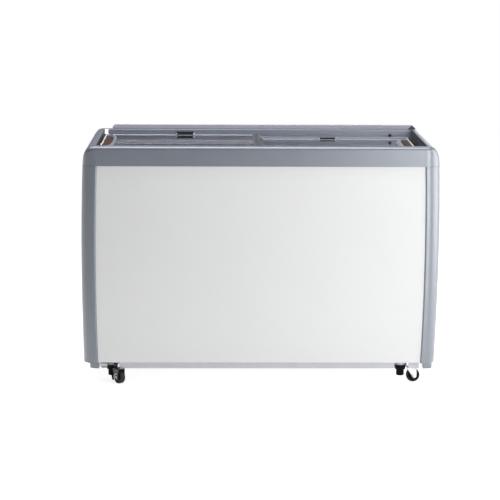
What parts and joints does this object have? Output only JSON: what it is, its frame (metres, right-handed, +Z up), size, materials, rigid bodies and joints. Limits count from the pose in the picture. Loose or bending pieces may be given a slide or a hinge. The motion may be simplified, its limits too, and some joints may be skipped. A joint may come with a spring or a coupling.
{
  "type": "chest freezer",
  "caption": "Commercial chest freezer with sliding glass lids on a stepped grey rim, bowed corner pillars, white panels, machine bay and swivel casters.",
  "frame": {"origin": "on the floor under the middle of the cabinet", "axes": "+Z up, +X to the right along the long side, front towards -Y"},
  "size_m": [1.3014, 0.68, 0.888],
  "materials": {
    "white_paint": "satin",
    "galvanised_steel": "satin",
    "plinth_trim": "satin",
    "insulation_foam": "matte",
    "liner_white": "gloss",
    "grey_plastic": "satin",
    "dark_grey_plastic": "satin",
    "black_plastic": "satin",
    "black_paint": "satin",
    "black_rubber": "matte",
    "wheel_rubber": "matte",
    "zinc_plate": "satin",
    "copper_tube": "satin",
    "lid_runner": "satin",
    "lid_glass": "polished",
    "lid_profile": "satin",
    "brown_pad": "satin"
  },
  "bodies": {
    "cabinet": {"front_panel": "white_paint", "left_panel": "white_paint", "right_panel": "white_paint", "rear_panel": "galvanised_steel", "base_pan": "galvanised_steel", "front_plinth": "plinth_trim", "foam_insulation": "insulation_foam", "liner_tub": "liner_white", "front_left_pillar": "grey_plastic", "front_right_pillar": "grey_plastic", "rear_left_pillar": "grey_plastic", "rear_right_pillar": "grey_plastic", "front_left_foot_cap": "grey_plastic", "front_right_foot_cap": "grey_plastic", "rear_left_foot_cap": "grey_plastic", "rear_right_foot_cap": "grey_plastic", "front_rail": "grey_plastic", "rear_rail": "grey_plastic", "left_end_rail": "grey_plastic", "right_end_rail": "grey_plastic", "rear_ledge": "dark_grey_plastic", "upper_lid_stop": "black_rubber", "lower_lid_stop": "black_rubber", "front_left_caster_plate": "zinc_plate", "front_right_caster_plate": "zinc_plate", "rear_left_caster_plate": "zinc_plate", "rear_right_caster_plate": "zinc_plate", "compressor": "black_paint", "condenser_coil": "black_paint", "fan_motor": "galvanised_steel", "evaporator_tube": "copper_tube", "vent_grille": "dark_grey_plastic", "thermostat_body": "liner_white", "cord_inlet": "black_plastic"},
    "left_lid": {"left_lid_frame": "lid_runner", "left_lid_glass": "lid_glass", "left_lid_centre_profile": "lid_profile", "left_lid_end_grip": "grey_plastic", "left_lid_grip_pad": "brown_pad", "left_lid_rear_pull": "black_plastic"},
    "right_lid": {"right_lid_frame": "lid_runner", "right_lid_glass": "lid_glass", "right_lid_centre_profile": "lid_profile", "right_lid_end_grip": "grey_plastic", "right_lid_grip_pad": "brown_pad", "right_lid_rear_pull": "black_plastic"},
    "front_left_swivel": {"front_left_fork": "zinc_plate"},
    "front_right_swivel": {"front_right_fork": "zinc_plate"},
    "rear_left_swivel": {"rear_left_fork": "zinc_plate"},
    "rear_right_swivel": {"rear_right_fork": "zinc_plate"},
    "front_left_roller": {"front_left_wheel": "wheel_rubber"},
    "front_right_roller": {"front_right_wheel": "wheel_rubber"},
    "rear_left_roller": {"rear_left_wheel": "wheel_rubber"},
    "rear_right_roller": {"rear_right_wheel": "wheel_rubber"},
    "front_left_pedal": {"front_left_brake": "black_plastic"},
    "front_right_pedal": {"front_right_brake": "black_plastic"},
    "fan": {"fan_blade": "black_plastic"},
    "knob": {"thermostat_knob": "black_plastic"},
    "drain": {"drain_plug": "black_plastic"}
  },
  "joints": [
    {"name": "left_lid_slide", "type": "slide", "parent": "cabinet", "child": "left_lid", "axis": [1, 0, 0], "range_m": [0, 0.5]},
    {"name": "right_lid_slide", "type": "slide", "parent": "cabinet", "child": "right_lid", "axis": [1, 0, 0], "range_m": [-0.5, 0]},
    {"name": "front_left_swivel_turn", "type": "hinge", "parent": "cabinet", "child": "front_left_swivel", "pos_m": [-0.5415, -0.2765, 0.0736], "axis": [0, 0, 1], "continuous": true},
    {"name": "front_right_swivel_turn", "type": "hinge", "parent": "cabinet", "child": "front_right_swivel", "pos_m": [0.5175, -0.2765, 0.0736], "axis": [0, 0, 1], "continuous": true},
    {"name": "rear_left_swivel_turn", "type": "hinge", "parent": "cabinet", "child": "rear_left_swivel", "pos_m": [-0.5415, 0.2765, 0.0736], "axis": [0, 0, 1], "continuous": true},
    {"name": "rear_right_swivel_turn", "type": "hinge", "parent": "cabinet", "child": "rear_right_swivel", "pos_m": [0.5175, 0.2765, 0.0736], "axis": [0, 0, 1], "continuous": true},
    {"name": "front_left_wheel_spin", "type": "hinge", "parent": "front_left_swivel", "child": "front_left_roller", "pos_m": [-0.51321, -0.31404, 0.025], "axis": [0.7986, 0.6018, 0], "continuous": true},
    {"name": "front_right_wheel_spin", "type": "hinge", "parent": "front_right_swivel", "child": "front_right_roller", "pos_m": [0.5645, -0.2765, 0.025], "axis": [0, 1, 0], "continuous": true},
    {"name": "rear_left_wheel_spin", "type": "hinge", "parent": "rear_left_swivel", "child": "rear_left_roller", "pos_m": [-0.49733, 0.26043, 0.025], "axis": [0.342, 0.9397, 0], "continuous": true},
    {"name": "rear_right_wheel_spin", "type": "hinge", "parent": "rear_right_swivel", "child": "rear_right_roller", "pos_m": [0.556, 0.24954, 0.025], "axis": [0.5736, 0.8192, 0], "continuous": true},
    {"name": "front_left_brake_release", "type": "hinge", "parent": "front_left_swivel", "child": "front_left_pedal", "pos_m": [-0.55354, -0.26053, 0.0665], "axis": [0.7986, 0.6018, 0], "range_deg": [0, 8]},
    {"name": "front_right_brake_release", "type": "hinge", "parent": "front_right_swivel", "child": "front_right_pedal", "pos_m": [0.4975, -0.2765, 0.0665], "axis": [0, 1, 0], "range_deg": [0, 8]},
    {"name": "fan_spin", "type": "hinge", "parent": "cabinet", "child": "fan", "pos_m": [0.583, -0.12, 0.205], "axis": [1, 0, 0], "continuous": true},
    {"name": "thermostat_turn", "type": "hinge", "parent": "cabinet", "child": "knob", "pos_m": [0.6402, 0.06, 0.25], "axis": [1, 0, 0], "range_deg": [0, 270]},
    {"name": "drain_plug_pull", "type": "slide", "parent": "cabinet", "child": "drain", "axis": [0, 0, 1], "range_m": [0, 0.04]}
  ]
}
